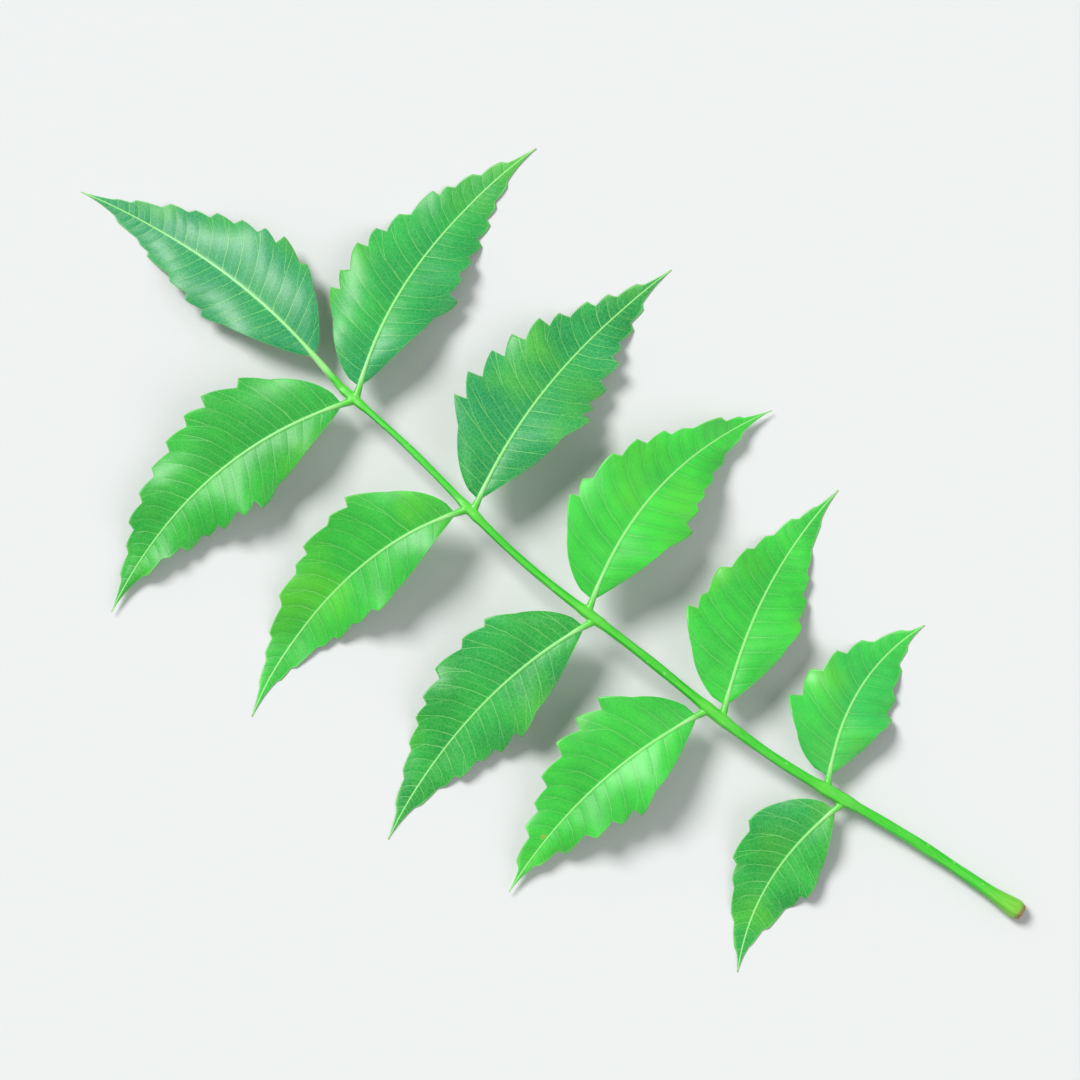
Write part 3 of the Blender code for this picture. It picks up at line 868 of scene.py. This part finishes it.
# The leaf's skins. Roughness is its spread over the grain and its least, heights are the masks' shares in
# the relief, and relief is its strength and its depth
SKINS = {
    "leaf_upper_face": SimpleNamespace(
        ground="deep",
        coats=UPPER_COATS,
        roughness=(0.16, 0.34),
        heights={"Grain": 0.25, "Height": -1.0},
        relief=(0.5, 0.06 * MM),
        all_over={"Specular IOR Level": 0.4, "Coat Weight": 0.12, "Coat Roughness": 0.3},
    ),
    "leaf_lower_face": SimpleNamespace(
        ground="under",
        coats=LOWER_COATS,
        roughness=(0.16, 0.5),
        heights={"Grain": 0.25, "Height": 1.0},
        relief=(0.6, 0.08 * MM),
        all_over={},
    ),
    "leaf_stalk_skin": SimpleNamespace(
        ground="stalk_deep",
        coats=STALK_COATS,
        roughness=(0.15, 0.27),
        heights={"streaks": 0.6, "Grain": 0.3, "dots": 0.5},
        relief=(0.5, 0.07 * MM),
        all_over={"Coat Weight": 0.15, "Coat Roughness": 0.25},
    ),
}

NODE_STEP = (220, -260)
NODES_A_ROW = 12
MIX_FACTOR, MIX_UNDER, MIX_OVER = 0, 6, 7


class Measure:
    """A number or a colour that changes over a surface, as a node puts it out."""

    def __init__(self, socket):
        self.socket = socket
        self.tree = socket.id_data

    def __add__(self, other):
        return maths("ADD", self, other)

    def __sub__(self, other):
        return maths("SUBTRACT", self, other)

    def __mul__(self, other):
        return maths("MULTIPLY", self, other)

    def __abs__(self):
        return maths("ABSOLUTE", self)

    def ramp(self, low, high, to_low=0.0, to_high=1.0):
        """The number, led evenly from one range to another."""
        inputs = {"Value": self, "From Min": low, "From Max": high, "To Min": to_low, "To Max": to_high}
        return output(self.tree, "ShaderNodeMapRange", inputs, interpolation_type="SMOOTHSTEP")

    def line(self, half, core, rim):
        """1 near a line and 0 far from it. Core and rim are shares of the line's half width."""
        return self.ramp(half * core, half * rim, 1.0, 0.0)


def set_inputs(node, inputs):
    """Sets a node's inputs to numbers and colours, or links them to measures."""
    for name, value in inputs.items():
        if isinstance(value, Measure):
            value.tree.links.new(value.socket, node.inputs[name])
        else:
            node.inputs[name].default_value = value


def outputs(tree, kind, inputs=None, **settings):
    """Adds a node, and gives what it puts out, by name."""
    node = tree.nodes.new(kind)
    row, column = divmod(len(tree.nodes), NODES_A_ROW)
    node.location = (NODE_STEP[0] * column, NODE_STEP[1] * row)
    for name, value in settings.items():
        setattr(node, name, value)
    set_inputs(node, inputs or {})
    return {socket.name: Measure(socket) for socket in node.outputs if socket.enabled}


def output(tree, kind, inputs=None, **settings):
    """Adds a node, and gives the first thing that it puts out."""
    return next(iter(outputs(tree, kind, inputs, **settings).values()))


def maths(operation, *inputs):
    tree = next(value.tree for value in inputs if isinstance(value, Measure))
    return output(tree, "ShaderNodeMath", dict(enumerate(inputs)), operation=operation)


def noise(where, scale, detail=3.0, roughness=0.5, wanted="Fac"):
    inputs = {"Vector": where, "Scale": scale, "Detail": detail, "Roughness": roughness}
    return outputs(where.tree, "ShaderNodeTexNoise", inputs)[wanted]


def cells(where, scale, **settings):
    return outputs(where.tree, "ShaderNodeTexVoronoi", {"Vector": where, "Scale": scale}, **settings)


def mapped(where, **inputs):
    return output(where.tree, "ShaderNodeMapping", {"Vector": where, **inputs})


def vectors(operation, inputs):
    return output(inputs[0].tree, "ShaderNodeVectorMath", inputs, operation=operation)


def split(vector):
    return outputs(vector.tree, "ShaderNodeSeparateXYZ", {0: vector})


def object_place(tree):
    return outputs(tree, "ShaderNodeTexCoord")["Object"]


def kept_value(tree, name):
    """A number that the piece keeps for each vertex."""
    return outputs(tree, "ShaderNodeAttribute", attribute_name=name)["Fac"]


def rgba(shade):
    return (*shade, 1.0)


def new_group(name, inputs):
    """An empty shader group, its number inputs, and places on the object it is used on."""
    group = bpy.data.node_groups.new(name, "ShaderNodeTree")
    for title, value in inputs.items():
        socket = group.interface.new_socket(name=title, in_out="INPUT", socket_type="NodeSocketFloat")
        socket.default_value = value
    return group, outputs(group, "NodeGroupInput"), object_place(group)


def finish_group(group, masks):
    """Lets a shader group put out its masks, each under its name."""
    for title in masks:
        group.interface.new_socket(name=title, in_out="OUTPUT", socket_type="NodeSocketFloat")
    outputs(group, "NodeGroupOutput", masks)
    return group


def placed(tree, make, inputs=None):
    """Places a shader group, which its function makes the first time."""
    group = bpy.data.node_groups.get(make.__name__) or make()
    return outputs(tree, "ShaderNodeGroup", inputs, node_tree=group)


def living_skin():
    """Group: cloudy tone, and the fine grain of a plant's skin. Sizes in millimetres."""
    group, given, where = new_group("living_skin", {"Patch Size": 14.0, "Grain Size": 0.16})
    patches, grains = (maths("DIVIDE", 1 / MM, given[size]) for size in ("Patch Size", "Grain Size"))
    cloud = noise(where, patches, CLOUD_DETAIL, SKIN_ROUGHNESS)
    grain = noise(where, grains, GRAIN_DETAIL, SKIN_ROUGHNESS)
    return finish_group(group, {"Cloud": cloud.ramp(*CLOUD_RANGE), "Grain": grain})


def leaf_veins():
    """Group: masks of the midrib, the forking side veins, the fine net, their heights and painted groove
    shade.
    """
    group, given, where = new_group("leaf_veins", {"Vein Width": 0.12, "Wander": 0.21})
    place = split(output(group, "ShaderNodeUVMap", uv_map="veins"))
    out_to_edge = place["Y"]
    number = place["X"] + (noise(where, WANDER_SCALE) - 0.5) * given["Wander"]
    nearest = maths("ROUND", number)
    past = number - nearest
    away = abs(past)
    spacing = bpy.context.scene.neem_relief.vein_spacing / MM
    half = given["Vein Width"] * maths("SUBTRACT", 1.0, out_to_edge * VEIN_THINNING)
    main = (away * spacing).line(half, *MAIN_LINE)
    chance = output(group, "ShaderNodeTexWhiteNoise", {"W": nearest}, noise_dimensions="1D")
    forked = out_to_edge - chance.ramp(*FORK_PLACE)
    parting = maths("MAXIMUM", forked, 0.0) * FORK_SLANT
    fork = (abs(past - parting) * spacing).line(half, *FORK_LINE) * forked.ramp(*FORK_RANGE)
    main = maths("MAXIMUM", main, fork) * chance.ramp(*FAINTNESS_RANGE)
    main = main * noise(where, BREAK_SCALE).ramp(*BREAK_RANGE)
    minor = (abs(away - 0.5) * spacing).line(half, *MINOR_LINE) * out_to_edge.ramp(*MINOR_RANGE)
    side = maths("MAXIMUM", main, minor) * kept_value(group, "length").ramp(*VEIN_END_RANGE)
    net = cells(where, NET_SCALE, feature="DISTANCE_TO_EDGE")["Distance"].ramp(*NET_LINE)
    rib = kept_value(group, "rib").ramp(*MIDRIB_LINE)
    height = side * SIDE_HEIGHT + net * NET_HEIGHT + rib * MIDRIB_HEIGHT
    # A band next to each side vein, darkened in the upper colour as painted groove shade
    painted_groove_shade = (away * spacing).ramp(*PAINTED_GROOVE_SHADE_RANGE)
    masks = {"Midrib": rib, "Side Veins": side, "Net": net, "Height": height, "Painted Groove Shade": painted_groove_shade}
    return finish_group(group, masks)


def leaf_specks():
    """Group: a few ragged blemishes with cores and halos. Radius in millimetres."""
    group, given, where = new_group("leaf_specks", {"Share": 0.2, "Radius": 0.45})
    drift = vectors("SUBTRACT", {0: noise(where, RAGGED_SCALE, 2.0, wanted="Color"), 1: (0.5, 0.5, 0.5)})
    drift = vectors("SCALE", {0: drift, "Scale": SPECK_RAGGEDNESS})
    ragged = vectors("ADD", {0: where, 1: drift})
    spots = cells(ragged, 1 / (SPECK_SPACING * MM), voronoi_dimensions="2D")
    chances = split(spots["Color"])
    away = spots["Distance"] * SPECK_SPACING
    radius = given["Radius"] * chances["Y"].ramp(*SPECK_SIZE_RANGE)
    kept = maths("LESS_THAN", chances["X"], given["Share"])
    halo, core = (away.line(radius, *edges) * kept for edges in (HALO_LINE, CORE_LINE))
    return finish_group(group, {"Halo": halo, "Core": core})


def upper_masks(tree):
    """The bright waxy upper face: cloudy green, thin pale veins, a fine net, a pale rim and few specks."""
    masks = {
        **placed(tree, leaf_veins, {"Vein Width": 0.11}),
        **placed(tree, living_skin),
        **placed(tree, leaf_specks),
        **{name: kept_value(tree, name) for name in ("edge", "length")},
    }
    where, tone, cool = object_place(tree), kept_value(tree, "tone"), kept_value(tree, "cool")
    masks["shade"] = masks["Cloud"] * CLOUD_IN_SHADE + tone * LEAFLET_IN_SHADE
    masks["cool patches"] = cool + noise(where, COOL_SCALE, 2.0) * COOL_NOISE
    masks["warm patches"] = noise(mapped(where, Location=WARM_PLACE), WARM_SCALE, 2.0)
    masks["net"] = masks["Net"] * tone.ramp(*NET_RANGE)
    masks["side veins"] = masks["Side Veins"] * tone.ramp(*SIDE_RANGE)
    return masks


def lower_masks(tree):
    """The paler, duller lower face, with its veins standing out."""
    return {**placed(tree, leaf_veins, {"Vein Width": 0.2}), **placed(tree, living_skin)}


def stalk_masks(tree):
    """The stalk's bright skin: fine streaks and dots, paler joints, a warm base, a brown scar, painted shade
    below and a painted highlight on top.
    """
    masks = placed(tree, living_skin, {"Patch Size": 7.0})
    masks.update({name: kept_value(tree, name) for name in ("joint", "stalklet", "base")})
    where = object_place(tree)
    drawn = mapped(where, Scale=STREAK_STRETCH)
    masks["streaks"] = noise(drawn, 1.0).ramp(*STREAK_RANGE)
    masks["dark streaks"] = noise(drawn, DARK_STREAK_SCALE, 2.0).ramp(*DARK_STREAK_RANGE)
    dots = cells(mapped(where, Scale=DOT_STRETCH), 1.0)
    kept = maths("LESS_THAN", split(dots["Color"])["X"], DOT_SHARE)
    masks["dots"] = dots["Distance"].ramp(*DOT_RANGE) * kept
    # Which way the skin faces, for the stalk's painted shade below and painted highlight on top
    masks["facing for painted light"] = split(outputs(tree, "ShaderNodeNewGeometry")["Normal"])["Z"]
    masks["ragged base"] = masks["base"] + masks["Grain"] * SCAR_RAGGEDNESS
    return masks


def new_material(name):
    """A material and its shader."""
    material = bpy.data.materials.new(name)
    material.use_nodes = True
    return material, material.node_tree.nodes["Principled BSDF"]


def painted(masks, ground, coats):
    """A ground colour under coats of colour, each laid on through its mask."""
    colours = bpy.context.scene.neem_colours
    green = rgba(getattr(colours, ground))
    for name, shade, strength in coats:
        mask = masks[name]
        if isinstance(strength, tuple):
            mask = mask.ramp(*strength)
        elif strength is not None:
            mask = mask * strength
        inputs = {MIX_FACTOR: mask, MIX_UNDER: green, MIX_OVER: rgba(getattr(colours, shade))}
        green = outputs(mask.tree, "ShaderNodeMix", inputs, data_type="RGBA")["Result"]
    return green


def make_skin(name, find_masks):
    """A skin of the leaf, with its colour, roughness and relief all led by the same masks."""
    skin = SKINS[name]
    material, shader = new_material(name)
    tree = material.node_tree
    masks = find_masks(tree)
    spread, least = skin.roughness
    strength, depth = skin.relief
    first, *others = (masks[mask] * share for mask, share in skin.heights.items())
    relief = {"Strength": strength, "Distance": depth, "Height": sum(others, first)}
    found = {
        "Base Color": painted(masks, skin.ground, skin.coats),
        "Roughness": masks["Grain"] * spread + least,
        "Normal": output(tree, "ShaderNodeBump", relief),
    }
    set_inputs(shader, {**found, **skin.all_over})
    return material


class NEEM_OT_stalk(bpy.types.Operator):
    """Model the stalk with its swollen base, its joints and the leaflets' short stalks"""

    bl_idname = "mesh.neem_stalk"
    bl_label = "Neem Stalk"
    bl_options = {"REGISTER", "UNDO"}

    def execute(self, context):
        plans = leaflet_plans()
        joints = np.array([plan.along for plan in plans])
        along = np.linspace(0, context.scene.neem_form.stalk_length, STALK_POINTS)
        stalk = tube(stalk_point(along), stalk_radius(along, joints), STALK_SIDES, STALK_CUTS, GROOVE_DEPTH)
        stalklets = [stalklet(plan) for plan in plans]
        select(stalk, *stalklets)
        bpy.ops.object.join()
        apply(stalk, "grown", "REMESH", mode="VOXEL", voxel_size=STALK_VOXEL)
        apply(stalk, "even", "SMOOTH", factor=SMOOTHING[0], iterations=SMOOTHING[1])
        points = add_ribs(stalk)
        away = np.linalg.norm(points[:, None, :] - stalk_point(joints), axis=2).min(axis=1)
        write_values(stalk.data, "joint", bell(away, JOINT_PATCH))
        stalk.data.materials.append(make_skin("leaf_stalk_skin", stalk_masks))
        finish_piece(stalk, "stalk")
        return {"FINISHED"}


class NEEM_OT_leaflets(bpy.types.Operator):
    """Model every leaflet: a thin folded blade with saw teeth, a midrib and side veins"""

    bl_idname = "mesh.neem_leaflets"
    bl_label = "Neem Leaflets"
    bl_options = {"REGISTER", "UNDO"}

    def execute(self, context):
        materials = [make_skin("leaf_upper_face", upper_masks), make_skin("leaf_lower_face", lower_masks)]
        for plan in leaflet_plans():
            leaflet(plan, materials)
        return {"FINISHED"}


def soft_light(name, direction, strength, softness):
    """A distant light, wide enough for soft shadows."""
    light = bpy.data.lights.new(name, "SUN")
    light.energy = strength
    light.angle = softness
    lamp = bpy.data.objects.new(name, light)
    lamp.location = direction
    lamp.rotation_euler = Vector(direction).to_track_quat("Z", "Y").to_euler()
    bpy.context.scene.collection.objects.link(lamp)


class NEEM_OT_stage(bpy.types.Operator):
    """Lay a plain pale table, and set soft light and a camera that looks down"""

    bl_idname = "scene.neem_stage"
    bl_label = "Table, Light and Camera"
    bl_options = {"REGISTER", "UNDO"}

    def execute(self, context):
        stage = context.scene.neem_stage
        select()
        bpy.ops.mesh.primitive_plane_add(size=TABLE_SIZE, location=(0, 0, 0))
        table = context.object
        table.name = "table"
        material, shader = new_material("pale_table")
        set_inputs(shader, {"Base Color": rgba(stage.table), "Roughness": TABLE_ROUGHNESS})
        table.data.materials.append(material)

        turn, tilt = stage.turn, stage.tilt
        right = np.array([-math.cos(turn), -math.sin(turn), 0.0])
        up = np.cross(UP, right)
        axes = np.array([right, up, UP])
        soft_light("key", KEY_DIRECTION @ axes, stage.key, stage.softness)
        soft_light("fill", FILL_DIRECTION @ axes, stage.fill, FILL_SOFTNESS * stage.softness)
        world = bpy.data.worlds.new("sky")
        world.use_nodes = True
        sky = world.node_tree.nodes["Background"]
        set_inputs(sky, {"Color": rgba(SKY_COLOUR), "Strength": stage.sky})
        context.scene.world = world
        context.scene.view_settings.view_transform = "Standard"

        camera = bpy.data.objects.new("camera", bpy.data.cameras.new("camera"))
        camera.data.lens = stage.lens
        camera.data.clip_start = CLIP_START
        back = math.cos(tilt) * UP - math.sin(tilt) * up
        over = math.cos(tilt) * up + math.sin(tilt) * UP
        place = np.mean(CAD_BOX, axis=0) + stage.reach * back
        matrix = np.eye(4)
        matrix[:3] = np.stack([right, over, back, place], axis=1)
        camera.matrix_world = Matrix(matrix.tolist())
        context.scene.collection.objects.link(camera)
        context.scene.camera = camera
        return {"FINISHED"}


class NEEM_PT_leaf(bpy.types.Panel):
    """The leaf's settings and the buttons that model it"""

    bl_idname = "NEEM_PT_leaf"
    bl_label = "Neem Leaf"
    bl_space_type = "VIEW_3D"
    bl_region_type = "UI"
    bl_category = "Neem Leaf"

    def draw(self, context):
        for title, settings in SETTINGS.items():
            box = self.layout.box()
            box.label(text=settings.__doc__)
            for name in settings.__annotations__:
                box.prop(getattr(context.scene, title), name)
        for operator in OPERATORS:
            self.layout.operator(operator.bl_idname)


SETTINGS = {
    "neem_form": NeemLeafForm,
    "neem_relief": NeemBladeRelief,
    "neem_colours": NeemLeafColours,
    "neem_stage": NeemStage,
}
OPERATORS = (NEEM_OT_stalk, NEEM_OT_leaflets, NEEM_OT_stage)
CLASSES = (*SETTINGS.values(), *OPERATORS, NEEM_PT_leaf)


def register():
    for cls in CLASSES:
        bpy.utils.register_class(cls)
    for title, settings in SETTINGS.items():
        setattr(bpy.types.Scene, title, bpy.props.PointerProperty(type=settings))


def unregister():
    for title in SETTINGS:
        delattr(bpy.types.Scene, title)
    for cls in reversed(CLASSES):
        bpy.utils.unregister_class(cls)


def main():
    register()
    bpy.ops.mesh.neem_stalk()
    bpy.ops.mesh.neem_leaflets()
    bpy.ops.scene.neem_stage()
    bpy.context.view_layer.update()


if __name__ == "__main__":
    main()
